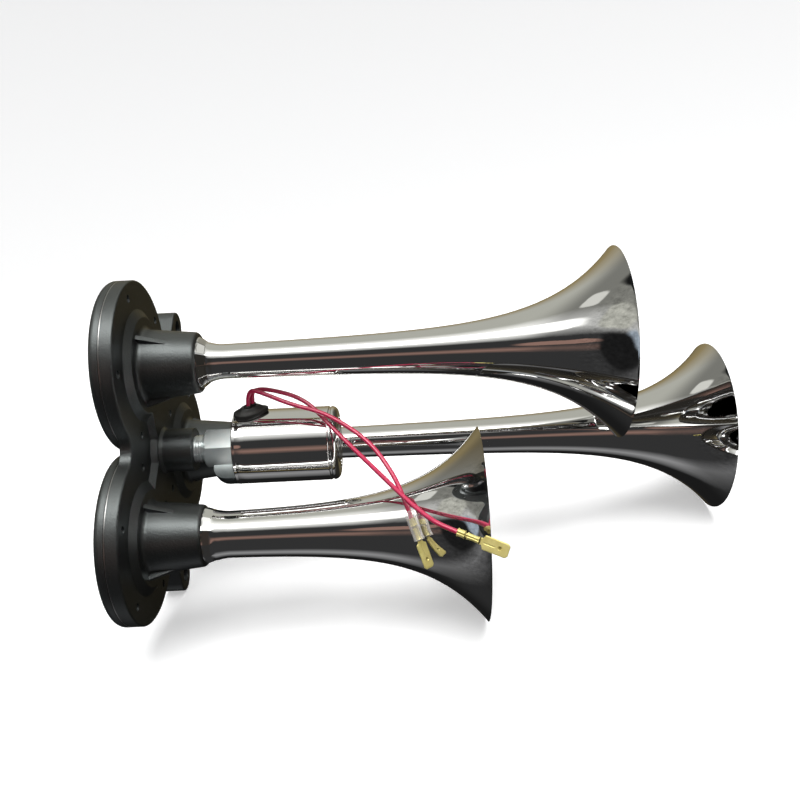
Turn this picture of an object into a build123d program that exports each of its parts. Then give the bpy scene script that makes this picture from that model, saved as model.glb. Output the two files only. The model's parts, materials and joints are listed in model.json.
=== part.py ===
"""Car air horn: three trumpets on one diaphragm manifold, fed through a solenoid valve.

Millimetres. +X is the way that the trumpets point and +Z is up. The origin is where the
valve's axis meets the plane of the covers' backs. Each lobe of the manifold carries a
trumpet, a diaphragm and a cover, and the lobes stand at the corners of a triangle.
"""

import math
import os

from build123d import *

# ---- layout, seen along X -------------------------------------------------------------
LOBE_R = 41.5
LOBE_GAP = 1.0  # between neighbouring lobes' rims
EAR_REACH = 14.25  # bolt's hole beyond the line that touches both lobes
EAR_ROOT = 28.0  # the ear's thick back, from the bolt's hole inwards
EAR_R = 9.0
EAR_HOLE_R = 4.25
WAIST_FILLET = 8.7
EAR_FILLET = 8.0
SCREWS_PER_COVER = 5
SCREW_CIRCLE_R = 34.5
LOBE_STEP = 360 / 3
LOBES = {"medium": 0, "short": -LOBE_STEP, "long": LOBE_STEP}  # degrees from +Z towards +Y
EARS = (LOBE_STEP / 2, LOBE_STEP * 3 / 2)  # between medium and long, and long and short
PAD_CLEARANCE = 0.65  # round the middle pad, beside the covers' gap

# ---- cover, gasket, diaphragm and manifold, one behind the other ----------------------
COVER_T = 4.9
COVER_EDGE = 3.0
COVER_GAP = 0.35
COVER_HOLLOW_R = 30.0
COVER_HOLLOW_DEPTH = 2.4
GASKET_T = 0.3
DIAPHRAGM_T = 0.5
FLANGE_T = 5.6
FLANGE_EDGE = 0.9
POD_RISE = 2.8
POD_BASE_R, POD_TOP_R = 27.5, 23.5
HUB_BASE_R, HUB_TOP_R = 16.0, 13.0
CHANNEL_BASE_W, CHANNEL_TOP_W = 20.0, 14.0
BOSS_LENGTH = 26.3
BOSS_BASE_R, BOSS_TOP_R = 17.6, 14.8
BOSS_ROOT_FILLET, BOSS_EDGE = 2.4, 2.0
RIBS_PER_BOSS = 3
RIB_T = 2.4
RIB_RISE = 3.2  # above the boss at its root
RIB_SINK = 4.2  # into the boss
RIB_LENGTH = 13.1
RIB_FROM = {"medium": -26, "short": -8, "long": 60}
INLET_BOSS_R = 11.0
INLET_BOSS_LENGTH = 15.9
INLET_STEP_R, INLET_STEP_T = 12.2, 1.5  # low ring round the inlet boss's root
CHAMBER_R, CHAMBER_DEPTH = 30.0, 2.8
WELL_R, WELL_DEPTH = 20.0, 5.9  # deeper middle of each chamber, round the nozzle
PASSAGE_R = 2.6
INLET_BORE_R = 4.0

# ---- screws ---------------------------------------------------------------------------
SCREW_R = 1.9
SCREW_HEAD_R = 3.6
SCREW_CLEARANCE = 0.25
SCREW_RECESS = 1.0  # of the tip below the flange's front
THREAD_CLEARANCE = 0.05

# ---- trumpets -------------------------------------------------------------------------
STEM_R = 10.4
STEM_BORE_R = 6.0
NOZZLE_R = 9.0
COLLAR_RIM = 0.6
NECK_RISE = 1.5  # of the collar's narrow end above the tube
COLLAR_LENGTH = 4.4
ROOT_LENGTH = 8.0  # over which the tube eases from the collar to its own size
MOUTH_R = 46.4
BELL_WALL = 1.8
STEM_CLEARANCE = 0.06
SEAL_T, SEAL_AT = 1.4, 12.0  # square ring and its distance from the boss's end
# name: tube radius, its growth a millimetre, mouth's distance from the covers' backs,
# and the distance over which the flare falls to 1/e
TRUMPETS = {
    "long": (8.3, 0.0085, 309.4, 31.0),
    "medium": (8.3, 0.0085, 241.9, 31.0),
    "short": (10.8, 0.0, 173.4, 28.0),
}
COLLAR_RS = {"long": 12.7, "medium": 12.7, "short": 13.7}
FLARE_STATIONS = (3.6, 2.8, 2.1, 1.6, 1.15, 0.8, 0.5, 0.25, 0.0)  # in flare lengths from the mouth

# ---- valve, along X from the manifold -------------------------------------------------
NIPPLE_R = 6.58
NIPPLE_BORE_R = 3.5
NIPPLE_INSERTION = 12.0
NIPPLE_EXPOSED = 4.4
INLET_SEAL_T = 1.0
HEX_ACROSS_FLATS = 19.0
HEX_LENGTH = 17.6
HEX_CHAMFER = 2.9
HEX_STEP = 0.3  # of the chamfer's narrow end above the nipple
LUG_LENGTH = 11.4
LUG_HALF_ANGLE = 35.0
LUG_CORNER = 7.0
CAN_R, CAN_LENGTH, CAN_WALL = 19.0, 52.4, 1.2
CAN_CORNER = 4.5
BASE_FLANGE_T = 3.5
SEAT_R, SEAT_RISE = 3.0, 1.6
GUIDE_R, GUIDE_WALL = 6.25, 0.55
CORE_LENGTH = 22.9
CORE_HEAD_R = 9.5
PORT_R, PORT_DEPTH = 5.72, 9.0
AIRWAY_R = 2.0
END_RING_T = 8.6
STROKE = 2.0
PLUNGER_CLEARANCE = 0.08
PLUNGER_FLAT = 5.2  # the air runs past two flats at this distance from the axis
POCKET_R, POCKET_DEPTH = 3.8, 9.0
CUSHION_R, CUSHION_T = 4.0, 2.0  # the plunger's rubber seal
SPRING_R, SPRING_WIRE_R, SPRING_TURNS = 3.1, 0.35, 5
BOBBIN_WALL, BOBBIN_FLANGE_T, BOBBIN_GAP = 1.0, 1.3, 1.0
BOBBIN_R = CAN_R - CAN_WALL - BOBBIN_GAP
WINDING_DEPTH = 2.2  # below the bobbin's rims
WINDING_R = BOBBIN_R - WINDING_DEPTH
FIT = 0.05

# ---- grommet, wires and terminals -----------------------------------------------------
GROMMET_AT = 61.2
GROMMET_TURN = 26.0  # degrees: its +X end lies towards +Y
GROMMET_LENGTH, GROMMET_WIDTH = 18.0, 9.6
GROMMET_RIM, GROMMET_RISE = 2.6, 4.4
GROMMET_NECK = 0.62  # share of the oval that the neck keeps
GROMMET_SLOT = 0.55  # share of the oval that passes through the can
WIRE_R = 1.1
TAB_WIDTH, TAB_T, TAB_LENGTH, TAB_LAP = 6.3, 0.8, 13.0, 1.0
BARREL_R, BARREL_LENGTH = 1.75, 6.0
CRIMP_R, CRIMP_LENGTH = 1.5, 5.5
GRIP = 2.5  # how far each wire runs into its barrel
SLEEVE_R, SLEEVE_WALL, SLEEVE_LENGTH = 2.6, 0.5, 14.0

# ---- stations along X -----------------------------------------------------------------
GASKET_X = COVER_T
DIAPHRAGM_X = GASKET_X + GASKET_T
MANIFOLD_X = DIAPHRAGM_X + DIAPHRAGM_T
FLANGE_X = MANIFOLD_X + FLANGE_T
POD_X = FLANGE_X + POD_RISE
BOSS_X = POD_X + BOSS_LENGTH
INLET_X = POD_X + INLET_BOSS_LENGTH
HEX_X = INLET_X + NIPPLE_EXPOSED
CAN_X = HEX_X + HEX_LENGTH
CAN_END = CAN_X + CAN_LENGTH
SEAT_X = CAN_X + BASE_FLANGE_T + 0.5 + SEAT_RISE
CORE_END = CAN_END
CORE_X = CORE_END - CORE_LENGTH
PLUNGER_END = CORE_X - STROKE - 0.1
PASSAGE_X = MANIFOLD_X + FLANGE_T / 2 + POD_RISE / 2 + 0.1
HEX_TURN = 30.0  # degrees: one corner of the hexagon stands this far above -Y

# ---- helpers --------------------------------------------------------------------------
TRUMPET_SPACING = 2 * LOBE_R + LOBE_GAP
LOBE_CIRCLE = TRUMPET_SPACING / math.sqrt(3)
EAR_AT = LOBE_CIRCLE / 2 + LOBE_R + EAR_REACH  # from the valve's axis
PAD_R = LOBE_CIRCLE - LOBE_R - COVER_GAP - PAD_CLEARANCE


def polar(radius, degrees):
    """Y and Z of a point at a radius, at an angle from +Z towards +Y."""
    a = math.radians(degrees)
    return radius * math.sin(a), radius * math.cos(a)


def at(radius, degrees, x=0.0):
    return Pos(x, *polar(radius, degrees))


def turned(*points):
    """Solid of revolution about the X axis, from (x, r) points that close on themselves."""
    outline = Polyline(*[(x, 0, r) for x, r in points], close=True)
    return revolve(make_face(outline), Axis.X, 360)


def rod(x0, x1, r, r1=None):
    return turned((x0, 0), (x0, r), (x1, r if r1 is None else r1), (x1, 0))


def tube(x0, x1, outer, inner):
    return turned((x0, inner), (x0, outer), (x1, outer), (x1, inner))


def slab(x0, x1, points):
    """Prism along X over a closed outline of (y, z) points."""
    outline = Polyline(*[(x0, y, z) for y, z in points], close=True)
    return extrude(make_face(outline), amount=x1 - x0, dir=(1, 0, 0))


def ring_of(shape, centre, count, start, radius):
    """Copies of a shape that lies on the X axis, round a circle about a lobe's axis."""
    y, z = centre
    steps = [start + k * 360 / count for k in range(count)]
    return [Pos(0, y, z) * at(radius, a) * shape for a in steps]


def screw_places(lobe):
    """Locations of the screws of one lobe, the first on its outward side."""
    out = LOBES[lobe]
    y, z = polar(LOBE_CIRCLE, out)
    step = 360 / SCREWS_PER_COVER
    return [Pos(0, y, z) * at(SCREW_CIRCLE_R, out + k * step) for k in range(SCREWS_PER_COVER)]


def lobe_axis(lobe):
    return Pos(0, *polar(LOBE_CIRCLE, LOBES[lobe]))


def save(shape, node):
    solids = shape.solids() if hasattr(shape, "solids") else shape
    export_step(Compound(children=list(solids)) if len(solids) > 1 else solids[0],
                f"parts/{node}.step")


# ---- covers, gaskets, diaphragms and their screws -------------------------------------
def cover_stack():
    cover = rod(0, COVER_T, LOBE_R) - rod(COVER_T - COVER_HOLLOW_DEPTH, COVER_T, COVER_HOLLOW_R)
    cover = fillet(cover.edges().group_by(Axis.X)[0], COVER_EDGE)
    gasket = tube(GASKET_X, DIAPHRAGM_X, LOBE_R, COVER_HOLLOW_R)
    disc = rod(DIAPHRAGM_X, MANIFOLD_X, LOBE_R)
    head = SCREW_HEAD_R - SCREW_R  # the depth of a 90 degree countersink
    sink = SCREW_CLEARANCE
    hole = rod(0, MANIFOLD_X, SCREW_R + SCREW_CLEARANCE)
    hole += rod(0, head + sink, SCREW_HEAD_R + sink, SCREW_R)
    screw = rod(sink, head + sink, SCREW_HEAD_R, SCREW_R) + rod(head, FLANGE_X - SCREW_RECESS, SCREW_R)
    screw = chamfer(screw.edges().group_by(Axis.X)[-1], 0.5)
    for lobe in LOBES:
        places = screw_places(lobe)
        holes = [p * hole for p in places]
        axis = lobe_axis(lobe)
        save(axis * cover - holes, f"rear_cover_{lobe}")
        save(axis * gasket - holes, f"cover_gasket_{lobe}")
        save(axis * disc - holes, f"diaphragm_{lobe}")
        save([p * screw for p in places], f"cover_screws_{lobe}")


# ---- manifold -------------------------------------------------------------------------
def web(degrees, radius, reach):
    """Outline between two lobes, closed by a fillet that touches both; reach is how far
    the fillet's centre stands off the line that parts the lobes."""
    off = TRUMPET_SPACING / 2 - reach
    middle = LOBE_CIRCLE / 2 + math.sqrt((LOBE_R + radius) ** 2 - off**2)
    return middle, reach


def flange_outline(x0, x1):
    """The three lobes, their webs and the two ears."""
    lobes = [polar(LOBE_CIRCLE, a) for a in LOBES.values()]
    body = slab(x0, x1, lobes)
    for y, z in lobes:
        body += Pos(0, y, z) * rod(x0, x1, LOBE_R)
    for gap in [a + LOBE_STEP / 2 for a in LOBES.values()]:
        ear = gap in EARS
        fillet_r = EAR_FILLET if ear else WAIST_FILLET
        along, across = web(gap, fillet_r, EAR_R + EAR_FILLET if ear else 0.0)
        ends = [polar(LOBE_CIRCLE, gap + side * LOBE_STEP / 2) for side in (-1, 1)]
        sides = []
        for sign in (-1, 1):
            turn = math.degrees(math.atan2(sign * across, along))
            sides.append(polar(math.hypot(along, across), gap + turn))
        corners = [ends[0], *(sides if ear else sides[:1]), ends[1]]
        body += slab(x0, x1, corners)
        if ear:
            body += at(EAR_AT, gap) * rod(x0, x1, EAR_R)
            arm = [(EAR_R, LOBE_CIRCLE / 2), (EAR_R, EAR_AT), (-EAR_R, EAR_AT), (-EAR_R, LOBE_CIRCLE / 2)]
            body += Rot(-gap, 0, 0) * slab(x0, x1, arm)
        for side in sides if ear else sides[:1]:
            body -= Pos(0, *side) * rod(x0, x1, fillet_r)
    return body


def manifold_body():
    body = flange_outline(MANIFOLD_X, FLANGE_X)
    body = fillet(body.edges().group_by(Axis.X)[-1], FLANGE_EDGE)
    back = flange_outline(0, MANIFOLD_X)
    for lobe in LOBES:
        back -= lobe_axis(lobe) * rod(0, MANIFOLD_X, LOBE_R + COVER_GAP)
    # behind the flange only the ears are thick, so that they stand on the covers' plane
    body += back - rod(0, MANIFOLD_X, EAR_AT - EAR_ROOT)
    body += rod(0, MANIFOLD_X, PAD_R)

    body += rod(FLANGE_X, POD_X, HUB_BASE_R, HUB_TOP_R)
    base, top = CHANNEL_BASE_W / 2, CHANNEL_TOP_W / 2
    section = [(FLANGE_X, -base, 0), (POD_X, -top, 0), (POD_X, top, 0), (FLANGE_X, base, 0)]
    channel = extrude(make_face(Polyline(*section, close=True)), amount=LOBE_CIRCLE - POD_TOP_R + 2,
                      dir=(0, 0, 1))
    boss = rod(FLANGE_X, POD_X, POD_BASE_R, POD_TOP_R) + rod(POD_X, BOSS_X, BOSS_BASE_R, BOSS_TOP_R)
    boss = fillet(boss.edges().filter_by_position(Axis.X, POD_X, POD_X)
                  .filter_by(lambda e: abs(e.radius - BOSS_BASE_R) < 0.01), BOSS_ROOT_FILLET)
    boss = fillet(boss.edges().group_by(Axis.X)[-1], BOSS_EDGE)
    taper = (BOSS_BASE_R - BOSS_TOP_R) / BOSS_LENGTH
    rib_end_r = BOSS_BASE_R - taper * RIB_LENGTH
    rib_line = [(POD_X, 0, rib_end_r - RIB_SINK), (POD_X, 0, BOSS_BASE_R + RIB_RISE),
                (POD_X + RIB_LENGTH, 0, rib_end_r), (POD_X + RIB_LENGTH, 0, rib_end_r - RIB_SINK)]
    rib = extrude(make_face(Polyline(*rib_line, close=True)), amount=RIB_T / 2, both=True)
    for lobe, angle in LOBES.items():
        body += Rot(-angle, 0, 0) * channel
        body += lobe_axis(lobe) * boss
        for k in range(RIBS_PER_BOSS):
            body += lobe_axis(lobe) * Rot(-(RIB_FROM[lobe] + 360 / RIBS_PER_BOSS * k), 0, 0) * rib
    body += rod(FLANGE_X, INLET_X, INLET_BOSS_R)
    body += rod(POD_X, POD_X + INLET_STEP_T, INLET_STEP_R, INLET_BOSS_R)

    chamber = rod(MANIFOLD_X, MANIFOLD_X + CHAMBER_DEPTH, CHAMBER_R)
    chamber += rod(MANIFOLD_X, MANIFOLD_X + WELL_DEPTH, WELL_R)
    chamber += rod(MANIFOLD_X, BOSS_X, STEM_R + STEM_CLEARANCE)
    passage = Pos(PASSAGE_X, 0, 0) * extrude(Circle(PASSAGE_R), amount=LOBE_CIRCLE - WELL_R + 2)
    for lobe, angle in LOBES.items():
        body -= lobe_axis(lobe) * chamber
        body -= Rot(-angle, 0, 0) * passage
        body -= [p * rod(MANIFOLD_X, FLANGE_X, SCREW_R + THREAD_CLEARANCE) for p in screw_places(lobe)]
    for ear in EARS:
        body -= at(EAR_AT, ear) * rod(0, FLANGE_X, EAR_HOLE_R)
    body -= rod(PASSAGE_X - PASSAGE_R - 0.3, INLET_X, INLET_BORE_R)
    body -= rod(INLET_X - NIPPLE_INSERTION - INLET_SEAL_T, INLET_X, NIPPLE_R + THREAD_CLEARANCE)
    save(body, "manifold_body")


# ---- trumpets -------------------------------------------------------------------------
def flare(lobe, wall):
    """Edges along the bell's outer face, or a wall's thickness inside it, and their ends."""
    tube_r, growth, mouth, fall = TRUMPETS[lobe]
    swell_at_mouth = MOUTH_R - tube_r - growth * (mouth - BOSS_X)
    points = []
    for station in FLARE_STATIONS:
        x = mouth - station * fall
        swell = swell_at_mouth * math.exp(-station)
        slope = growth + swell / fall
        length = math.hypot(1, slope)
        r = tube_r + growth * (x - BOSS_X) + swell
        points.append((x + wall * slope / length, 0, r - wall / length))
    end = points[-1]
    points[-1] = (mouth, 0, end[2] - (end[0] - mouth) * swell_at_mouth / fall)
    points.insert(0, (BOSS_X + COLLAR_LENGTH + ROOT_LENGTH, 0, tube_r - wall))
    arcs = [ThreePointArc(*points[k:k + 3]) for k in range(1, len(points) - 2, 2)]
    return [Line(points[0], points[1]), *arcs], points[0], points[-1]


def trumpets():
    for lobe in TRUMPETS:
        collar_r, neck_r = COLLAR_RS[lobe], TRUMPETS[lobe][0] + NECK_RISE
        outer, root, rim = flare(lobe, 0)
        inner, inner_root, inner_rim = flare(lobe, BELL_WALL)
        groove_x = BOSS_X - SEAL_AT
        well_x = MANIFOLD_X + WELL_DEPTH
        stem = [
            inner_root, (inner_root[0] - 1, 0, STEM_BORE_R), (MANIFOLD_X, 0, STEM_BORE_R),
            (MANIFOLD_X, 0, NOZZLE_R - 1), (MANIFOLD_X + 1, 0, NOZZLE_R), (well_x, 0, NOZZLE_R),
            (well_x + STEM_R - NOZZLE_R, 0, STEM_R), (BOSS_X, 0, STEM_R), (BOSS_X, 0, collar_r),
            (BOSS_X + COLLAR_RIM, 0, collar_r), (BOSS_X + COLLAR_LENGTH, 0, neck_r), root,
        ]
        outline = [Polyline(*stem), *outer, Line(rim, inner_rim), *inner]
        body = revolve(make_face(outline), Axis.X, 360)
        body -= tube(groove_x, groove_x + SEAL_T + 0.2, STEM_R + 1, STEM_R - SEAL_T)
        seal = tube(groove_x + 0.1, groove_x + 0.1 + SEAL_T, STEM_R + STEM_CLEARANCE, STEM_R - SEAL_T)
        save(lobe_axis(lobe) * body, f"trumpet_{lobe}")
        save(lobe_axis(lobe) * seal, f"trumpet_seal_{lobe}")


# ---- valve ----------------------------------------------------------------------------
def valve_base():
    """Nipple, hexagon, side lug, flange and seat, one turned and milled piece."""
    corner_r = HEX_ACROSS_FLATS / math.sqrt(3)
    corners = [polar(corner_r, -90 + HEX_TURN + k * 60) for k in range(6)]
    hexagon = slab(HEX_X, CAN_X, corners)
    hexagon &= rod(HEX_X, HEX_X + HEX_CHAMFER, NIPPLE_R + HEX_STEP, corner_r) + rod(
        HEX_X + HEX_CHAMFER, CAN_X, corner_r)
    lug_x = CAN_X - LUG_LENGTH
    wedge = [(0, 0)] + [polar(CAN_R * 1.4, 180 + HEX_TURN + s * LUG_HALF_ANGLE) for s in (-1, 1)]
    lug = rod(lug_x, CAN_X, CAN_R - 0.2)
    lug = fillet(lug.edges().group_by(Axis.X)[0], LUG_CORNER) & slab(lug_x, CAN_X, wedge)
    flange_x = CAN_X + BASE_FLANGE_T
    body = rod(INLET_X - NIPPLE_INSERTION, HEX_X, NIPPLE_R) + hexagon + lug
    body += rod(CAN_X, flange_x, CAN_R - CAN_WALL - FIT)
    body += rod(flange_x, SEAT_X - SEAT_RISE, GUIDE_R - FIT)
    body += rod(SEAT_X - SEAT_RISE, SEAT_X, SEAT_R + 0.8, SEAT_R)
    body = chamfer(body.edges().group_by(Axis.X)[0], 0.8)
    body -= rod(INLET_X - NIPPLE_INSERTION, CAN_X, NIPPLE_BORE_R)
    body -= rod(CAN_X, SEAT_X, AIRWAY_R)
    save(body, "valve_base")
    seal_x = INLET_X - NIPPLE_INSERTION - INLET_SEAL_T
    save(tube(seal_x, seal_x + INLET_SEAL_T, NIPPLE_R, INLET_BORE_R), "inlet_seal")


def valve_can():
    can = fillet(rod(CAN_X, CAN_END, CAN_R).edges().group_by(Axis.X)[-1], CAN_CORNER)
    inside = rod(CAN_X, CAN_END - CAN_WALL, CAN_R - CAN_WALL)
    can -= fillet(inside.edges().group_by(Axis.X)[-1], CAN_CORNER - CAN_WALL)
    can -= rod(CAN_END - CAN_WALL, CAN_END, CORE_HEAD_R + FIT)
    can -= oval(GROMMET_SLOT, 0, CAN_R + 1, FIT)
    save(can, "valve_can")


def valve_inside():
    flange_x = CAN_X + BASE_FLANGE_T
    ring_x = CAN_END - CAN_WALL - END_RING_T
    guide_out = GUIDE_R + GUIDE_WALL
    save(tube(flange_x, ring_x, guide_out, GUIDE_R), "guide_tube")

    core = rod(CORE_X, ring_x, GUIDE_R - FIT) + rod(ring_x, CORE_END, CORE_HEAD_R)
    core -= rod(CORE_END - PORT_DEPTH, CORE_END, PORT_R)
    core -= rod(CORE_X, CORE_END - PORT_DEPTH, AIRWAY_R)
    save(chamfer(core.edges().filter_by_position(Axis.X, CORE_END, CORE_END)
                 .filter_by(lambda e: abs(e.radius - PORT_R) < 0.01), 0.5), "fixed_core")
    corner, ring_r, ring_end = CAN_CORNER - CAN_WALL, CAN_R - CAN_WALL - FIT, CAN_END - CAN_WALL - FIT
    save(turned((ring_x, CORE_HEAD_R + FIT), (ring_x, ring_r), (ring_end - corner, ring_r),
                (ring_end, ring_r - corner), (ring_end, CORE_HEAD_R + FIT)), "end_ring")

    low, high = flange_x + FIT, ring_x - FIT
    bore = guide_out + FIT
    bobbin = tube(low, high, bore + BOBBIN_WALL, bore)
    bobbin += tube(low, low + BOBBIN_FLANGE_T, BOBBIN_R, bore)
    bobbin += tube(high - BOBBIN_FLANGE_T, high, BOBBIN_R, bore)
    save(bobbin, "coil_bobbin")
    save(tube(low + BOBBIN_FLANGE_T + FIT, high - BOBBIN_FLANGE_T - FIT, WINDING_R,
              bore + BOBBIN_WALL + FIT), "coil_winding")

    plunger_r = GUIDE_R - PLUNGER_CLEARANCE
    face_x = SEAT_X + 0.3
    plunger = rod(face_x, PLUNGER_END, plunger_r)
    width, high = PLUNGER_FLAT, GUIDE_R
    plunger &= slab(face_x, PLUNGER_END, [(-width, -high), (width, -high), (width, high), (-width, high)])
    plunger -= rod(face_x, SEAT_X + CUSHION_T, CUSHION_R)
    plunger -= rod(PLUNGER_END - POCKET_DEPTH, PLUNGER_END, POCKET_R)
    save(plunger, "plunger")
    save(rod(SEAT_X, SEAT_X + CUSHION_T, CUSHION_R), "plunger_seal")

    start, end = PLUNGER_END - POCKET_DEPTH, CORE_X
    wire = SPRING_WIRE_R
    height = end - start - 2 * wire
    coil = Helix(pitch=height / SPRING_TURNS, height=height, radius=SPRING_R)
    section = Plane(origin=coil @ 0, z_dir=coil % 0) * RegularPolygon(wire, 4)
    save(Pos(start + wire, 0, 0) * Rot(0, 90, 0) * sweep(section, path=coil, is_frenet=True),
         "return_spring")


# ---- grommet, wires, terminals --------------------------------------------------------
def oval(share, z0, z1, grow=0.0):
    """Upright prism of a share of the grommet's oval."""
    across = GROMMET_WIDTH * share + 2 * grow
    length = GROMMET_LENGTH * share + 2 * grow + (GROMMET_LENGTH - GROMMET_WIDTH) * (1 - share) / 2
    slot = extrude(SlotOverall(length, across), amount=z1 - z0)
    return Pos(GROMMET_AT, 0, z0) * Rot(0, 0, GROMMET_TURN) * slot


WIRE_START = WINDING_R + 0.4  # height at which the wires leave the winding
WIRES = {
    "first": [
        (60.2, -1.2, WIRE_START), (60.2, -1.2, 26.1), (62.4, -0.6, 32.8), (68.1, -2.3, 31.7),
        (83.3, -7.1, 26.4), (98.2, -12.5, 24.6), (111.9, -20.4, 19.5), (123.3, -30.1, 14.1),
        (132.4, -44.1, 6.1), (135.7, -53.0, 2.0), (138.1, -59.4, -1.4), (140.5, -63.4, -7.8),
    ],
    "second": [
        (62.2, 1.4, WIRE_START), (62.2, 1.4, 27.4), (63.4, 1.9, 31.3), (70.9, 1.5, 31.8),
        (89.6, -2.7, 27.2), (102.4, -14.6, 17.2), (115.2, -28.5, 10.1), (126.4, -44.2, 6.7),
        (139.4, -61.6, 2.1), (146.7, -70.0, 0.2), (152.0, -76.0, -0.3), (161.6, -81.0, -2.0),
    ],
}
TAB_FACES = {"first": (0.71, -0.45, 0.55), "second": (0.0, -0.9, 0.43)}  # the way each blade faces


def wire_path(points):
    """Straight runs joined by tangent arcs, each as gentle as its two runs allow."""
    radii = []
    for a, b, c in zip(points, points[1:], points[2:]):
        one, two = Vector(*b) - Vector(*a), Vector(*c) - Vector(*b)
        half = math.radians(one.get_angle(two)) / 2
        radii.append(round(0.45 * min(one.length, two.length) / math.tan(half), 2))
    return FilletPolyline(*points, radius=radii), radii


def wires():
    for name, points in WIRES.items():
        path, radii = wire_path(points)
        start = Plane(origin=path @ 0, z_dir=path % 0)
        wire = sweep(start * Circle(WIRE_R), path=path)
        print(f"wire_{name}: length {path.length:.1f}, radii {radii}, volume {wire.volume:.1f},"
              f" section by length {math.pi * WIRE_R**2 * path.length:.1f}")
        save(wire, f"wire_{name}")
        save(terminal(name), f"terminal_{name}")
    body = oval(1.0, 0, CAN_R + GROMMET_RIM) + oval(GROMMET_NECK, 0, CAN_R + GROMMET_RISE)
    body = chamfer(body.edges().group_by(Axis.Z)[-1], 0.8)
    body -= rod(0, CAN_END, CAN_R)
    body += oval(GROMMET_SLOT, CAN_R - CAN_WALL - 0.8, CAN_R + 1)
    for points in WIRES.values():
        x, y, _ = points[0]
        body -= Pos(x, y, 0) * extrude(Circle(WIRE_R + FIT), amount=CAN_R * 2)
    save(body, "wire_grommet")
    plane = blade_plane("first")
    sleeve_end = BARREL_LENGTH - GRIP + CRIMP_LENGTH - TAB_LAP - 0.1
    sleeve = plane * Pos(0, 0, sleeve_end - SLEEVE_LENGTH) * extrude(
        Circle(SLEEVE_R) - Circle(SLEEVE_R - SLEEVE_WALL), amount=SLEEVE_LENGTH)
    save(sleeve, "terminal_sleeve")


def blade_plane(name):
    """Plane at a wire's end: Z runs on along the wire and X lies across the blade."""
    points = WIRES[name]
    along = (Vector(*points[-1]) - Vector(*points[-2])).normalized()
    across = along.cross(Vector(*TAB_FACES[name])).normalized()
    return Plane(origin=points[-1], x_dir=across, z_dir=along)


def terminal(name):
    barrel = Pos(0, 0, -GRIP) * extrude(Circle(BARREL_R), amount=BARREL_LENGTH)
    barrel -= Pos(0, 0, -GRIP) * extrude(Circle(WIRE_R + FIT), amount=GRIP)
    crimp = Pos(0, 0, BARREL_LENGTH - GRIP) * extrude(Circle(CRIMP_R), amount=CRIMP_LENGTH)
    foot = BARREL_LENGTH - GRIP + CRIMP_LENGTH - TAB_LAP
    tab = Pos(0, 0, foot + TAB_LENGTH / 2) * Box(TAB_WIDTH, TAB_T, TAB_LENGTH)
    tab = chamfer(tab.edges().filter_by(Axis.Y).group_by(Axis.Z)[-1], 1.0)
    tab -= Pos(0, 0, foot + TAB_LENGTH * 0.62) * Rot(90, 0, 0) * Cylinder(0.7, TAB_T * 3)
    return blade_plane(name) * (barrel + crimp + tab)


os.makedirs("parts", exist_ok=True)
cover_stack()
manifold_body()
trumpets()
valve_base()
valve_can()
valve_inside()
wires()
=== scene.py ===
"""Car air horn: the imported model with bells, valve, wires and finishes, lit in a small studio."""

import json
import math

import bpy
import numpy as np
from mathutils import Matrix, Vector


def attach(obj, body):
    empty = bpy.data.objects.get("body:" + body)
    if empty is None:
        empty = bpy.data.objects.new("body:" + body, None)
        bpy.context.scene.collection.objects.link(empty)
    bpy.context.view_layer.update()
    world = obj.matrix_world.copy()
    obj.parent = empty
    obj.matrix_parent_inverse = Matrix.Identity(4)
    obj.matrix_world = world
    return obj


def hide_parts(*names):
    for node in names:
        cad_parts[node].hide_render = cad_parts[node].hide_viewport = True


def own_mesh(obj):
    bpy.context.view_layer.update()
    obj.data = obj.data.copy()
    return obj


MM = 0.001
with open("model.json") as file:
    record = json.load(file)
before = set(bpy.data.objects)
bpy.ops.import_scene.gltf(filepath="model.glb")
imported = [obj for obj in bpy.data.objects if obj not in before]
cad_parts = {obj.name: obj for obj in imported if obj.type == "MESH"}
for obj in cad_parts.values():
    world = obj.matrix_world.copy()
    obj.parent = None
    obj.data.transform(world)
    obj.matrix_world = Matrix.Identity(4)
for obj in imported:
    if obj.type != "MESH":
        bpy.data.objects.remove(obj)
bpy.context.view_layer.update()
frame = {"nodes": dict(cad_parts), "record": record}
nodes = frame["nodes"]

# ---- sizes shared with the solids, in millimetres ---------------------------------------
LOBE_CIRCLE = 84.0 / math.sqrt(3)
LOBES = {"medium": 0, "short": -120, "long": 120}  # degrees from +Z towards +Y
SCREW_CIRCLE_R = 34.5
MANIFOLD_X, FLANGE_X, BOSS_X = 5.7, 11.3, 40.4
MOUTH_R, BELL_WALL = 46.4, 1.8
TRUMPETS = {  # tube radius, its growth a millimetre, mouth, fall to 1/e of the flare, collar
    "long": (8.3, 0.0085, 309.4, 31.0, 12.7),
    "medium": (8.3, 0.0085, 241.9, 31.0, 12.7),
    "short": (10.8, 0.0, 173.4, 28.0, 13.7),
}
INLET_X, HEX_X, CAN_X, CAN_END, CAN_R = 30.0, 34.4, 52.0, 104.4, 19.0
NIPPLE_R = 6.58
GROMMET_AT, GROMMET_TURN = 61.2, math.radians(26)
WIRE_R = 1.1
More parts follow.
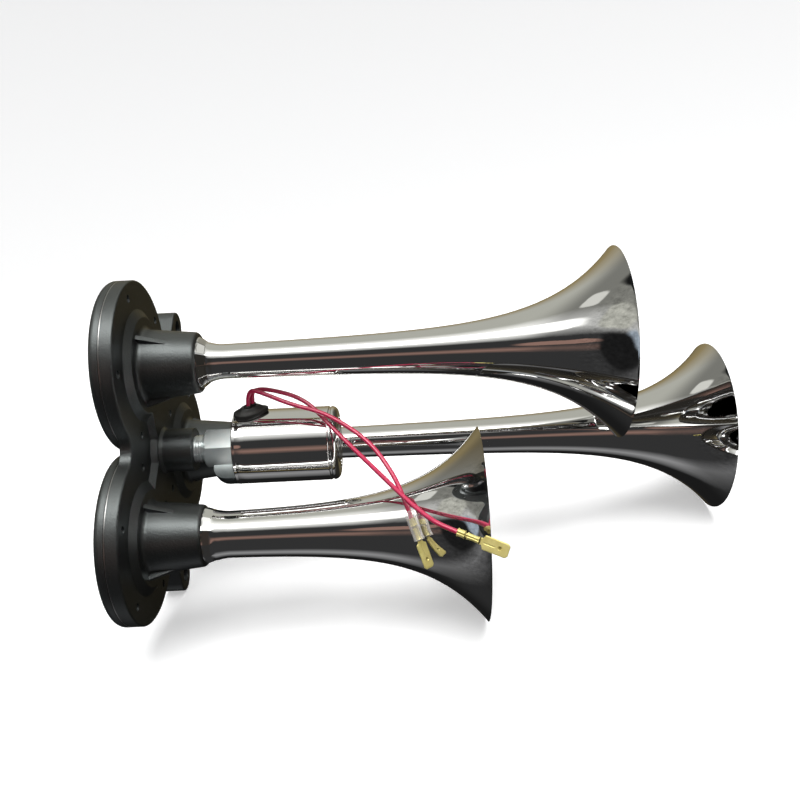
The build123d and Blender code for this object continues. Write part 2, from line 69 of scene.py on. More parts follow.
WIRES = {
    "first": [
        (60.2, -1.2, 15.0), (60.2, -1.2, 26.1), (62.4, -0.6, 32.8), (68.1, -2.3, 31.7),
        (83.3, -7.1, 26.4), (98.2, -12.5, 24.6), (111.9, -20.4, 19.5), (123.3, -30.1, 14.1),
        (132.4, -44.1, 6.1), (135.7, -53.0, 2.0), (138.1, -59.4, -1.4), (140.5, -63.4, -7.8),
    ],
    "second": [
        (62.2, 1.4, 15.0), (62.2, 1.4, 27.4), (63.4, 1.9, 31.3), (70.9, 1.5, 31.8),
        (89.6, -2.7, 27.2), (102.4, -14.6, 17.2), (115.2, -28.5, 10.1), (126.4, -44.2, 6.7),
        (139.4, -61.6, 2.1), (146.7, -70.0, 0.2), (152.0, -76.0, -0.3), (161.6, -81.0, -2.0),
    ],
}
TAB_FACES = {"first": Vector((0.71, -0.45, 0.55)), "second": Vector((0.0, -0.9, 0.43))}


def lobe_centre(name):
    a = math.radians(LOBES[name])
    return LOBE_CIRCLE * math.sin(a), LOBE_CIRCLE * math.cos(a)


# ---- camera -----------------------------------------------------------------------------
def set_camera():
    data = bpy.data.cameras.new("view")
    data.sensor_width = 36.0
    data.lens = 37.43
    data.clip_start, data.clip_end = 0.01, 50.0
    camera = bpy.data.objects.new("view", data)
    bpy.context.scene.collection.objects.link(camera)
    right = Vector((0.998675, -0.008885, -0.050682))
    up = Vector((0.049194, 0.453688, 0.889802))
    back = Vector((0.015088, -0.891116, 0.453524))
    turn = Matrix((right, up, back)).transposed().to_4x4()
    camera.matrix_world = Matrix.Translation(Vector((142.8, -371.8, 211.8)) * MM) @ turn
    bpy.context.scene.camera = camera


set_camera()


# ---- shader expressions -----------------------------------------------------------------
class Term:
    """A socket in a material, so that maths on it reads as an expression."""

    def __init__(self, tree, socket):
        self.tree, self.socket = tree, socket

    def maths(self, operation, first, second=None):
        node = self.tree.nodes.new("ShaderNodeMath")
        node.operation = operation
        for at, value in enumerate((first, second)):
            if isinstance(value, Term):
                self.tree.links.new(value.socket, node.inputs[at])
            elif value is not None:
                node.inputs[at].default_value = value
        return Term(self.tree, node.outputs[0])

    def __add__(self, other):
        return self.maths("ADD", self, other)

    def __radd__(self, other):
        return self.maths("ADD", other, self)

    def __sub__(self, other):
        return self.maths("SUBTRACT", self, other)

    def __rsub__(self, other):
        return self.maths("SUBTRACT", other, self)

    def __mul__(self, other):
        return self.maths("MULTIPLY", self, other)

    def __rmul__(self, other):
        return self.maths("MULTIPLY", other, self)

    def __truediv__(self, other):
        return self.maths("DIVIDE", self, other)

    def power(self, exponent):
        return self.maths("POWER", self, exponent)

    def above(self, limit):
        return self.maths("GREATER_THAN", self, limit)


class Finish:
    """One material: its Principled shader and the nodes that vary it."""

    def __init__(self, name, colour, rough, metal=0.0, **sockets):
        self.material = bpy.data.materials.new(name)
        self.material.use_nodes = True
        self.tree = self.material.node_tree
        self.tree.nodes.clear()
        self.out = self.tree.nodes.new("ShaderNodeOutputMaterial")
        self.shader = self.tree.nodes.new("ShaderNodeBsdfPrincipled")
        self.tree.links.new(self.shader.outputs[0], self.out.inputs["Surface"])
        self.set(**{"Base Color": (*colour, 1), "Roughness": rough, "Metallic": metal}, **sockets)

    def set(self, **sockets):
        for name, value in sockets.items():
            socket = self.shader.inputs[name.replace("_", " ")]
            if isinstance(value, Term):
                self.tree.links.new(value.socket, socket)
            else:
                socket.default_value = value
        return self

    def node(self, kind, settings=None, inputs=None, output=0):
        """A node of a type, its settings made first, then its sockets' values or links."""
        node = self.tree.nodes.new("ShaderNode" + kind)
        for name, value in (settings or {}).items():
            if name == "stops":
                ramp = node.color_ramp
                while len(ramp.elements) < len(value):
                    ramp.elements.new(1.0)
                for element, (place, colour) in zip(ramp.elements, value):
                    element.position, element.color = place, (*colour, 1)
            else:
                setattr(node, name, value)
        for name, value in (inputs or {}).items():
            socket = node.inputs[name]
            if isinstance(value, Term):
                self.tree.links.new(value.socket, socket)
            else:
                socket.default_value = value
        return Term(self.tree, node.outputs[output])

    def maths(self, operation, first, second=None):
        return first.maths(operation, first, second)

    def smooth(self, value, low, high):
        """0 where the value is at low and 1 at high, eased between them."""
        spread = {"From Min": min(low, high), "From Max": max(low, high)}
        spread |= {"To Min": float(low > high), "To Max": float(low < high), "Value": value}
        return self.node("MapRange", {"interpolation_type": "SMOOTHSTEP"}, spread)

    def place(self, stretch=(1, 1, 1)):
        """Where a point of the horn is, in metres, stretched along each axis."""
        spot = self.node("TexCoord", output=3)
        return self.node("VectorMath", {"operation": "MULTIPLY"}, {0: spot, 1: stretch})

    def noise(self, scale, detail=3.0, rough=0.55, stretch=(1, 1, 1)):
        """Noise from 0 to 1 with so many waves a metre."""
        inputs = {"Vector": self.place(stretch), "Scale": scale, "Detail": detail, "Roughness": rough}
        return self.node("TexNoise", None, inputs)

    def mix(self, factor, first, second):
        """A colour between two."""
        inputs = {0: factor}
        for at, colour in ((6, first), (7, second)):
            inputs[at] = colour if isinstance(colour, Term) else (*colour, 1)
        return self.node("Mix", {"data_type": "RGBA"}, inputs, output=2)

    def bump(self, height, distance, strength, edges=0.0):
        """Relief of so many metres, over edges that are softened by a radius."""
        inputs = {"Height": height, "Distance": distance, "Strength": strength}
        if edges:
            inputs["Normal"] = self.node("Bevel", {"samples": 4}, {"Radius": edges})
        return self.set(Normal=self.node("Bump", None, inputs))


def make_finishes():
    """The finish of each material slot."""
    made = {}

    plastic = Finish("moulded black plastic", (0.01, 0.01, 0.01), 0.4, IOR=1.9, Specular_IOR_Level=0.85,
                     Specular_Tint=(0.90, 0.97, 1.0, 1))
    cloud, grain = plastic.noise(22, 4), plastic.noise(1100, 2)
    scuffs = plastic.noise(420, 5, 0.7).above(0.735)
    body = plastic.mix(cloud, (0.003, 0.003, 0.0035), (0.007, 0.007, 0.0065))
    plastic.set(Base_Color=plastic.mix(scuffs, body, (0.06, 0.06, 0.055)))
    plastic.set(Roughness=0.34 + 0.16 * cloud)
    plastic.bump(grain, 0.00014, 0.8, edges=0.0006)
    made["black_plastic"] = plastic

    chrome = Finish("mirror chrome", (0.90, 0.90, 0.91), 0.04, 1.0)
    haze, wave = chrome.noise(40, 5), chrome.noise(55, 2, stretch=(0.5, 1, 1))
    drawn = chrome.noise(620, 3, 0.6, stretch=(0.12, 1, 1))
    chrome.set(Roughness=0.02 + 0.07 * haze.power(3))
    chrome.bump(wave + drawn * 0.05, 0.0004, 0.10)
    made["chrome"] = chrome

    zinc = Finish("machined zinc", (0.72, 0.80, 0.82), 0.3, 0.86)
    streak, patch = zinc.noise(500, 3, stretch=(1, 0.2, 0.2)), zinc.noise(240, 5, 0.7)
    zinc_tone = zinc.mix(patch, (0.78, 0.88, 0.90), (1.0, 1.0, 1.0))
    height = zinc.node("SeparateXYZ", None, {"Vector": zinc.place()}, 2)
    painted_shade_below = zinc.smooth(height, 0.001, -0.009)  # painted shade: the zinc's colour is darker towards its lower side
    zinc.set(Base_Color=zinc.mix(painted_shade_below, zinc_tone, (0.085, 0.10, 0.105)))
    zinc.set(Roughness=0.26 + 0.2 * streak)
    zinc.bump(patch, 0.00004, 0.4)
    made["zinc"] = zinc

    steel = Finish("zinc-plated steel", (0.62, 0.63, 0.65), 0.3, 1.0)
    steel.bump(steel.noise(600, 3), 0.00003, 0.4, edges=0.0001)
    made["zinc_plated_steel"] = steel
    sheet = Finish("bright sheet steel", (0.42, 0.42, 0.43), 0.3, 1.0)
    made["spring_steel"] = sheet
    made["magnetic_steel"] = Finish("turned steel", (0.5, 0.5, 0.51), 0.3, 1.0)

    rubber = Finish("black rubber", (0.01, 0.01, 0.01), 0.5, IOR=1.6, Specular_IOR_Level=0.5)
    dust = rubber.noise(260, 4)
    rubber.set(Base_Color=rubber.mix(dust, (0.004, 0.004, 0.004), (0.014, 0.014, 0.013)))
    rubber.bump(dust, 0.00008, 0.4, edges=0.0002)
    made["rubber"] = rubber

    made["bobbin_plastic"] = Finish("white nylon", (0.72, 0.7, 0.64), 0.5)
    copper = Finish("wound copper", (0.6, 0.24, 0.09), 0.3, 1.0)
    turns = copper.node("TexWave", {"bands_direction": "X"}, {"Vector": copper.place(), "Scale": 480.0})
    copper.bump(turns, 0.0001, 0.8)
    made["copper_winding"] = copper

    brass = Finish("stamped brass", (0.9, 0.75, 0.3), 0.3, 0.5)
    stain = brass.noise(420, 4)
    # painted shade: ambient occlusion darkens the brass colour in its dimple, grooves and crimp creases
    occlusion_for_painted_shade = brass.node("AmbientOcclusion", {"only_local": True, "samples": 8}, {"Distance": 0.0009}, 1)
    metal = brass.mix(stain, (0.80, 0.68, 0.20), (1.0, 0.90, 0.38))
    brass.set(Base_Color=brass.mix(occlusion_for_painted_shade.power(2.2), (0.10, 0.07, 0.02), metal))
    brass.set(Roughness=0.22 + 0.2 * stain)
    brass.bump(stain, 0.00005, 0.4, edges=0.00015)
    made["brass"] = brass

    wire = Finish("red wire insulation", (0.55, 0.01, 0.06), 0.4, Coat_Roughness=0.22, Coat_IOR=1.9)
    rub = wire.noise(300, 4)
    wire.set(Base_Color=wire.mix(rub, (0.42, 0.007, 0.05), (0.60, 0.018, 0.10)), Coat_Weight=0.8)
    made["red_insulation"] = wire

    clear = Finish("clear sleeve", (1.0, 0.97, 0.95), 0.12, Alpha=0.3, Specular_IOR_Level=0.9)
    rim = clear.node("LayerWeight", None, {"Blend": 0.45}, output=1)
    clear.set(Alpha=0.14 + 0.75 * rim.power(1.5))
    made["clear_sleeve"] = clear
    return made


finishes = make_finishes()


# ---- mesh helpers -----------------------------------------------------------------------
def piece(name, points, faces, slot, replaced=(), sharp=None, rides="horn"):
    """A shown piece, in millimetres, with the finish of a slot, in place of some solids."""
    mesh = bpy.data.meshes.new(name)
    mesh.from_pydata([tuple(p * MM for p in point) for point in points], [], faces)
    mesh.validate()
    mesh.update()
    mesh.polygons.foreach_set("use_smooth", [True] * len(mesh.polygons))
    if sharp:
        mesh.set_sharp_from_angle(angle=math.radians(sharp))
    mesh.materials.append(finishes[slot].material)
    thing = bpy.data.objects.new(name, mesh)
    bpy.context.scene.collection.objects.link(thing)
    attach(thing, rides)
    if replaced:
        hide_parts(*replaced)
    return thing


def grid_faces(rows, columns, start=0, wrap=True):
    """Faces over rows of points, each row a closed ring when it wraps."""
    faces = []
    last = columns if wrap else columns - 1
    for r in range(rows - 1):
        for c in range(last):
            d = (c + 1) % columns
            a, b = start + r * columns, start + (r + 1) * columns
            faces.append((a + c, b + c, b + d, a + d))
    return faces


def ring_points(profile, columns, centre=(0, 0), shape=None):
    """Rings of points about an axis along X, from (x, r); shape may change r by angle."""
    points = []
    for x, r in profile:
        for c in range(columns):
            a = 2 * math.pi * c / columns
            radius = shape(x, r, a) if shape else r
            points.append((x, centre[0] + radius * math.sin(a), centre[1] + radius * math.cos(a)))
    return points


def turned(name, profile, slot, columns=96, centre=(0, 0), shape=None, **rest):
    """A turned piece whose profile is closed by its first point."""
    profile = list(profile) + [profile[0]]
    points = ring_points(profile, columns, centre, shape)
    points = points[:-columns]
    faces = []
    for a, b, c, d in grid_faces(len(profile), columns):
        wrap = len(points)
        faces.append(tuple(i % wrap for i in (a, d, c, b)))
    return piece(name, points, faces, slot, **rest)


def arc(x, r, radius, start, end, steps=6):
    """Points of a profile's round corner about (x, r), angles in degrees from +X to +R."""
    turns = [math.radians(start + (end - start) * k / steps) for k in range(steps + 1)]
    return [(x + radius * math.cos(t), r + radius * math.sin(t)) for t in turns]


# ---- trumpets ---------------------------------------------------------------------------
def bell_curve(name, wall, places):
    """(x, r) along a bell's outer face, or a wall's thickness inside it."""
    tube, growth, mouth, fall, _ = TRUMPETS[name]
    swell_at_mouth = MOUTH_R - tube - growth * (mouth - BOSS_X)
    curve = []
    for place in places:
        x = mouth - place
        swell = swell_at_mouth * math.exp(-place / fall)
        slope = growth + swell / fall
        length = math.hypot(1, slope)
        r = tube + growth * (x - BOSS_X) + swell
        curve.append((x + wall * slope / length, r - wall / length))
    return curve


COLLAR_FACETS, COLLAR_FLAT_END = 12, 5.2  # flats round a collar, and how far they run along it
SEAL_SEAT_R, STEM_R, STEM_HEAD_R, BORE_R = 8.0, 9.0, 10.4, 6.0
FLARE_START, COLLAR_SLOPE, ROOT_LENGTH = 53.0, 3.7, 7.6


def facets(x, r, a):
    """The collar's flats, which fade out at its rim and at its narrow end."""
    along = x - BOSS_X
    if r < 9.7 or not 0.05 < along < COLLAR_FLAT_END:
        return r
    depth = min(1.0, along / 0.5, (COLLAR_FLAT_END - along) / 1.2)
    half = math.pi / COLLAR_FACETS
    turn = (a + half) % (2 * half) - half
    return r * (1 + depth * (math.cos(half) / math.cos(turn) - 1))


def make_trumpets():
    for name, (tube, _, mouth, _, collar_r) in TRUMPETS.items():
        centre = lobe_centre(name)
        steps = 60
        places = [(mouth - FLARE_START) * (1 - k / steps) ** 1.5 + 0.5 for k in range(steps + 1)]
        outer = bell_curve(name, 0, places)
        inner = bell_curve(name, BELL_WALL, [max(p, 2.4) for p in places])
        inner = [p for k, p in enumerate(inner) if k == 0 or p[0] > inner[k - 1][0] + 1e-4]
        rim_r = (outer[-1][1] + inner[-1][1]) / 2
        lip = [(mouth - 0.12, MOUTH_R - 0.1), (mouth, MOUTH_R - 0.45), (mouth, rim_r),
               (mouth - 0.3, inner[-1][1] + 0.1)]
        collar = [(BOSS_X, STEM_HEAD_R), (BOSS_X, collar_r - 0.5), (BOSS_X + 0.12, collar_r - 0.12)]
        neck_r = tube + 1.5
        for k in range(9):  # the sloping part, down to the neck
            fall_r = (neck_r + 0.15 - collar_r) * k / 8
            collar.append((BOSS_X + 0.5 + COLLAR_SLOPE * k / 8, collar_r + fall_r))
        root_r = outer[0][1]
        for k in range(11):
            share = k / 10
            ease = (1 - share) ** 2.2
            collar.append((BOSS_X + 4.6 + ROOT_LENGTH * share, root_r + (neck_r - root_r) * ease))
        stem = [(BOSS_X, BORE_R), (MANIFOLD_X, BORE_R), (MANIFOLD_X, SEAL_SEAT_R)]
        stem += [(MANIFOLD_X + 1, STEM_R), (11.6, STEM_R), (13.0, STEM_HEAD_R)]
        throat = [(FLARE_START, tube - BELL_WALL), (FLARE_START - 1.5, BORE_R)]
        profile = stem + collar + outer + lip + inner[::-1] + throat
        turned(f"trumpet.{name}", profile, "chrome", columns=144, centre=centre, shape=facets,
               replaced=[f"trumpet_{name}"], sharp=25)


# ---- valve ------------------------------------------------------------------------------
def make_thread():
    """Coarse ridge round the nipple, between the inlet boss and the hexagon."""
    pitch, columns, rows = 1.4, 64, 48
    points = []
    for k in range(rows):
        x = INLET_X - 0.6 + (HEX_X - INLET_X + 0.55) * k / (rows - 1)
        for c in range(columns):
            a = 2 * math.pi * c / columns
            wave = math.cos(2 * math.pi * (x / pitch - c / columns))
            r = NIPPLE_R + 0.02 + 0.36 * max(0.0, 0.5 + 0.7 * wave) ** 0.8
            points.append((x, r * math.sin(a), r * math.cos(a)))
    faces = [f[::-1] for f in grid_faces(rows, columns)]
    piece("nipple.thread", points, faces, "zinc")


def make_can():
    corner, end, hole_r = 3.2, CAN_END, 9.55
    lip = [(CAN_X, 17.8), (CAN_X, 18.5)] + arc(CAN_X + 0.5, 18.5, 0.5, 180, 90, 4)
    lip += [(CAN_X + 1.0, 19.0), (CAN_X + 1.3, 18.84), (CAN_X + 1.7, 18.84), (CAN_X + 2.0, 18.95)]
    body = [(CAN_X + 2.0 + k * 4.5, 18.95) for k in range(1, 10)]
    crimp = [(end - 5.6, 18.92), (end - 5.1, 18.98), (end - 4.7, 18.94), (end - 4.4, 18.74),
             (end - 4.2, 18.46), (end - 3.9, 18.38), (end - 3.6, 18.46), (end - 3.4, 18.66)]
    bead = arc(end - corner, CAN_R - 0.12 - corner, corner - 0.03, 86, 8, 9)
    ring = [(end - 0.05, 14.6), (end - 0.05, 13.6), (end - 0.3, 13.2), (end - 0.3, 10.4)]
    ring += [(end, 10.1), (end, hole_r)]
    inside = [(end - 1.2, hole_r), (end - 1.2, 14.4), (end - 4.5, 17.8)]
    turned("can", lip + body + crimp + bead + ring + inside, "chrome", columns=128,
           replaced=["valve_can"], sharp=30)


def make_port():
    """Thread lines inside the inlet port."""
    rows, columns, pitch, depth = 56, 56, 1.34, 8.4
    points = []
    for k in range(rows):
        x = CAN_END - 0.5 - depth + depth * k / (rows - 1)
        for c in range(columns):
            a = 2 * math.pi * c / columns
            wave = math.cos(2 * math.pi * (x / pitch - c / columns))
            r = 5.66 - 0.3 * (0.5 + 0.5 * wave)
            points.append((x, r * math.sin(a), r * math.cos(a)))
    piece("port.thread", points, grid_faces(rows, columns), "magnetic_steel")


def oval_ring(length, width, z, columns=72, sink=0.0):
    """A ring of the grommet's oval, blunter at its near end, that drops with the can when it sinks."""
    ring = []
    for c in range(columns):
        a = 2 * math.pi * c / columns
        along = length / 2 * math.cos(a)
        across = width / 2 * math.sin(a) * (1 - 0.16 * math.cos(a)) * (1 + 0.10 * math.sin(a) ** 2)
        x = GROMMET_AT + along * math.cos(GROMMET_TURN) - across * math.sin(GROMMET_TURN)
        y = along * math.sin(GROMMET_TURN) + across * math.cos(GROMMET_TURN)
        drop = CAN_R - math.sqrt(max(0.0, CAN_R**2 - y * y))
        ring.append((x, y, z - sink * drop))
    return ring


def make_grommet():
    """Oval rubber boot: a thick rim that follows the can, a sloping top and a low neck."""
    levels = [
        (12.0, 5.2, 17.2, 1.0), (12.0, 5.2, 18.9, 1.0), (16.8, 8.4, 19.0, 1.0),
        (17.7, 9.0, 19.2, 0.95), (18.0, 9.3, 19.6, 0.8), (18.0, 9.3, 20.7, 0.45),
        (17.8, 9.1, 21.1, 0.4), (17.2, 8.6, 21.3, 0.38), (16.2, 8.0, 21.32, 0.38),
        (13.6, 6.9, 21.9, 0.25), (11.4, 6.0, 22.6, 0.12), (10.0, 5.5, 23.1, 0.04),
        (9.2, 5.1, 23.32, 0.0), (8.2, 4.6, 23.38, 0.0),
    ]
    columns = 72
    points = []
    for length, width, z, sink in levels:
        points += oval_ring(length, width, z, columns, sink)
    faces = grid_faces(len(levels), columns)
    faces.append(tuple(range((len(levels) - 1) * columns, len(levels) * columns)))
    faces.append(tuple(range(columns))[::-1])
    piece("grommet", points, faces, "rubber", replaced=["wire_grommet"], sharp=50)
    for name, points in WIRES.items():
        x, y, _ = points[0]
        profile = [(WIRE_R + 0.02, 23.3), (WIRE_R + 0.85, 23.3), (WIRE_R + 0.75, 24.0)]
        profile += [(WIRE_R + 0.45, 24.4), (WIRE_R + 0.02, 24.4)]
        make_collar(f"grommet.collar.{name}", profile, x, y)


def make_collar(name, profile, x, y):
    """Small moulded ring round a wire where it leaves the grommet."""
    columns = 32
    points = []
    for r, z in profile:
        for c in range(columns):
            a = 2 * math.pi * c / columns
            points.append((x + r * math.cos(a), y + r * math.sin(a), z))
    piece(name, points, grid_faces(len(profile), columns), "rubber")


# ---- wires and terminals ----------------------------------------------------------------
def blade_frame(name):
    """Origin and axes at a wire's end: along the wire, across the blade, and its face."""
    points = WIRES[name]
    origin = Vector(points[-1])
    along = (origin - Vector(points[-2])).normalized()
    across = along.cross(TAB_FACES[name]).normalized()
    return origin, along, across, along.cross(across)


def placed(points, frame_of):
    """Points given as (along, across, out of the face) turned into the horn's own place."""
    origin, along, across, face = frame_of
    return [tuple(origin + along * p[0] + across * p[1] - face * p[2]) for p in points]


def make_blade(frame_of):
    """Flat tab with eased edges, a lengthwise line and a dimple, in one plate."""
    start, length, half, thick = 8.0, 13.0, 3.15, 0.4
    columns, rows = 43, 79
    top, under = [], []
    for r in range(rows):
        u = length * r / (rows - 1)
        ease = 1.0 - 0.34 * max(0.0, (u - (length - 1.2)) / 1.2) ** 1.4
        neck = 0.50 + 0.50 * min(1.0, max(0.0, (u - 0.9) / 0.8))
        for c in range(columns):
            v = -1 + 2 * c / (columns - 1)
            y = half * v * ease * neck
            edge = 1 - max(0.0, (abs(v) - 0.9) / 0.1) ** 2 * 0.45
            tip = 1 - max(0.0, (u - (length - 0.7)) / 0.7) ** 2 * 0.45
            dent = math.hypot(u - 8.9, y) / 0.85
            dip = 0.68 * min(1.0, max(0.0, 2.8 * (1 - dent)))
            line = 0.14 * math.exp(-((y - 0.3) / 0.24) ** 2) * (1 if 1.6 < u < 7.0 else 0)
            top.append((start + u, y, thick * edge * tip - dip - line))
            under.append((start + u, y, -thick * edge * tip))
    faces = grid_faces(rows, columns, 0, False)
    count = rows * columns
    faces += [tuple(i + count for i in f[::-1]) for f in grid_faces(rows, columns, 0, False)]
    border = [r * columns for r in range(rows)]
    far = [r * columns + columns - 1 for r in range(rows)]
    for side, flip in ((border, False), (far, True)):
        for a, b in zip(side, side[1:]):
            quad = (a, b, b + count, a + count)
            faces.append(quad[::-1] if flip else quad)
    for row, flip in ((0, True), (rows - 1, False)):
        ends = [row * columns + c for c in range(columns)]
        for a, b in zip(ends, ends[1:]):
            quad = (a, b, b + count, a + count)
            faces.append(quad[::-1] if flip else quad)
    return placed(top + under, frame_of), faces


def make_barrel(frame_of, start, length, radius, pinch, squash):
    """Rolled crimp: two wings that curl in and meet in a groove on the face side."""
    rows, columns = 17, 41
    points = []
    for r in range(rows):
        share = r / (rows - 1)
        u = start + length * share
        waist = 1 - pinch * math.sin(math.pi * share) ** 0.8
        flare = 1 + 0.10 * (abs(2 * share - 1) ** 6)
        for c in range(columns):
            a = 2 * math.pi * c / (columns - 1)
            groove = 0.32 * math.exp(-((min(a, 2 * math.pi - a)) / 0.22) ** 2)
            rad = radius * waist * flare * (1 - groove)
            points.append((u, rad * math.sin(a) * (1 + squash), rad * math.cos(a) * (1 - squash)))
    faces = grid_faces(rows, columns, 0, False)
    ends = [tuple(range(columns - 1)), tuple(range((rows - 1) * columns, rows * columns - 1))[::-1]]
    return placed(points, frame_of), faces + ends


def join(parts):
    points, faces = [], []
    for more, sides in parts:
        shift = len(points)
        points += more
        faces += [tuple(i + shift for i in f) for f in sides]
    return points, faces


def make_terminal(name):
    frame_of = blade_frame(name)
    parts = [
        make_barrel(frame_of, start=-2.5, length=3.4, radius=1.72, pinch=0.03, squash=0.02),
        make_barrel(frame_of, start=0.9, length=1.2, radius=1.1, pinch=0.0, squash=0.0),
        make_barrel(frame_of, start=2.0, length=5.6, radius=1.5, pinch=0.12, squash=0.04),
        make_blade(frame_of),
    ]
    shape, faces = join(parts)
    return piece(f"terminal.{name}", shape, faces, "brass", replaced=[f"terminal_{name}"], sharp=40)


def make_sleeve():
    """Clear sleeve pushed over the first terminal, a little uneven along its length."""
    frame_of = blade_frame("first")
    rows, columns = 25, 48
    start, length, outer_r, inner_r = -6.1, 13.9, 2.58, 2.12
    points = []
    for wall in (outer_r, inner_r):
        for r in range(rows):
            share = r / (rows - 1)
            u = start + length * share
            swell = 1 - 0.05 * math.sin(math.pi * share * 2.0) ** 2
            for c in range(columns):
                a = 2 * math.pi * c / columns
                rad = wall * swell * (1 - 0.03 * math.cos(2 * a + 0.6))
                points.append((u, rad * math.sin(a), rad * math.cos(a)))
    count = rows * columns
    outer = grid_faces(rows, columns)
    inner = [tuple(i + count for i in f[::-1]) for f in grid_faces(rows, columns)]
    rims = []
    for row, flip in ((0, False), (rows - 1, True)):
        for c in range(columns):
            a, b = row * columns + c, row * columns + (c + 1) % columns
            quad = (a, b, b + count, a + count)
            rims.append(quad[::-1] if flip else quad)
    return piece("terminal.sleeve", placed(points, frame_of), outer + inner + rims, "clear_sleeve",
                 replaced=["terminal_sleeve"])


def make_wire(name, points):
    data = bpy.data.curves.new(f"wire.{name}", "CURVE")
    data.dimensions = "3D"
    spline = data.splines.new("NURBS")
    spline.points.add(len(points) - 1)
    for spot, point in zip(spline.points, points):
        spot.co = (*(p * MM for p in point), 1.0)
    spline.order_u = 3
    spline.use_endpoint_u = True
    spline.resolution_u = 14
    data.bevel_depth = WIRE_R * MM
    data.bevel_resolution = 5
    data.use_fill_caps = True
    data.materials.append(finishes["red_insulation"].material)
    wire = bpy.data.objects.new(f"wire.{name}", data)
    bpy.context.scene.collection.objects.link(wire)
    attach(wire, "horn")
    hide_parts(f"wire_{name}")


# ---- screws -----------------------------------------------------------------------------
def make_screws():
    """Countersunk heads with a cross recess behind, threaded tips in front."""
    columns, rings = 40, 16
    head_r, head_x, recess = 3.55, 0.26, 1.3
    thread_rows, thread_x, thread_length, thread_r, pitch = 27, 5.2, 4.7, 1.72, 0.7
    for name in LOBES:
        cy, cz = lobe_centre(name)
        points, faces = [], []
        for k in range(5):
            turn = math.radians(LOBES[name] + 72 * k)
            y0, z0 = cy + SCREW_CIRCLE_R * math.sin(turn), cz + SCREW_CIRCLE_R * math.cos(turn)
            rows = []
            for r in range(rings + 1):
                radius = head_r * r / rings
                row = []
                for c in range(columns):
                    a = 2 * math.pi * c / columns
                    u, v = radius * math.sin(a + turn), radius * math.cos(a + turn)
                    arm = min(abs(u), abs(v))
                    reach = max(abs(u), abs(v))
                    depth = recess * max(0.0, 1 - (arm / 0.55) ** 4) * max(0.0, 1 - (reach / 2.1) ** 4)
                    row.append((head_x + min(recess, depth), y0 + radius * math.sin(a),
                                z0 + radius * math.cos(a)))
                rows.append(row)
            for x, radius in [(0.4, 3.6), (1.95, 1.9), (5.0, 1.85)]:
                rows.append([(x, y0 + radius * math.sin(2 * math.pi * c / columns),
                              z0 + radius * math.cos(2 * math.pi * c / columns)) for c in range(columns)])
            for r in range(thread_rows):
                x = thread_x + thread_length * r / (thread_rows - 1)
                row = []
                for c in range(columns):
                    a = 2 * math.pi * c / columns
                    radius = thread_r + 0.17 * math.cos(2 * math.pi * (x / pitch - c / columns))
                    row.append((x, y0 + radius * math.sin(a), z0 + radius * math.cos(a)))
                rows.append(row)
            rows.append([(FLANGE_X - 1.05, y0 + 1.2 * math.sin(2 * math.pi * c / columns),
                          z0 + 1.2 * math.cos(2 * math.pi * c / columns)) for c in range(columns)])
            start = len(points)
            for row in rows:
                points += row
            faces += grid_faces(len(rows), columns, start)
            end = len(points)
            faces.append(tuple(range(end - columns, end))[::-1])
        piece(f"screws.{name}", points, [f[::-1] for f in faces], "zinc_plated_steel",
              replaced=[f"cover_screws_{name}"], sharp=35)


# ---- solids that are shown as they are --------------------------------------------------
def make_spring():
    """Return spring, which shortens towards the core as the plunger lifts."""
    turns, coil_r, wire_r, low, high = 5, 3.1, 0.35, 70.41, 81.49
    rows, columns = 241, 12
    points = []
    for k in range(rows):
        a = 2 * math.pi * turns * k / (rows - 1)
        x = low + wire_r + (high - low - 2 * wire_r) * k / (rows - 1)
        for c in range(columns):
            b = 2 * math.pi * c / columns
            r = coil_r + wire_r * math.cos(b)
            points.append((x + wire_r * math.sin(b), r * math.sin(a), r * math.cos(a)))
    faces = grid_faces(rows, columns)
    faces += [tuple(range(columns))[::-1], tuple(range((rows - 1) * columns, rows * columns))]
    spring = piece("return.coil", points, faces, "spring_steel", replaced=["return_spring"])
    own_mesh(spring)


def dress_solids():
    slots = {s["node"]: s["material_slot"] for s in frame["record"]["subparts"]}
    for name, solid in nodes.items():
        solid.data.materials.clear()
        solid.data.materials.append(finishes[slots[name]].material)


# ---- studio -----------------------------------------------------------------------------
def stage_mesh(name, points, faces, material):
    mesh = bpy.data.meshes.new(name)
    mesh.from_pydata(points, [], faces)
    mesh.materials.append(material)
    mesh.polygons.foreach_set("use_smooth", [True] * len(mesh.polygons))
    thing = bpy.data.objects.new(name, mesh)
    bpy.context.scene.collection.objects.link(thing)
    return thing


def make_floor():
    """Pale dish that touches the three points the horn rests on, and turns up all round."""
    pale = Finish("pale sweep", (0.9, 0.9, 0.9), 0.9, Emission_Color=(1, 1, 1, 1), Emission_Strength=0.4)
    slope_x, slope_y, centre_x, height = 0.0797, 0.1291, 120, -90.35
    lean = Vector((-slope_x, slope_y, 1.0)).normalized()
    away = Vector((0.0, 1.0, -slope_y)).normalized()
    side = away.cross(lean)
    middle = Vector((centre_x, 0, height + slope_x * centre_x)) * MM
    profile = [(0.002, 0.0), (0.6, 0.0), (1.5, 0.0)]
    bend = np.linspace(0.08, math.pi / 2, 20)
    profile += [(1.5 + 1.1 * math.sin(t), 1.1 - 1.1 * math.cos(t)) for t in bend]
    profile.append((2.6, 3.5))
    points, columns = [], 96
    for out, high in profile:
        for c in range(columns):
            a = 2 * math.pi * c / columns
            spot = middle + away * float(out * math.cos(a)) + side * float(out * math.sin(a))
            points.append(tuple(spot + lean * float(high)))
    faces = grid_faces(len(profile), columns) + [tuple(range(columns))]
    floor = stage_mesh("sweep", points, faces, pale.material)
    floor.visible_glossy = False
    floor.visible_diffuse = False


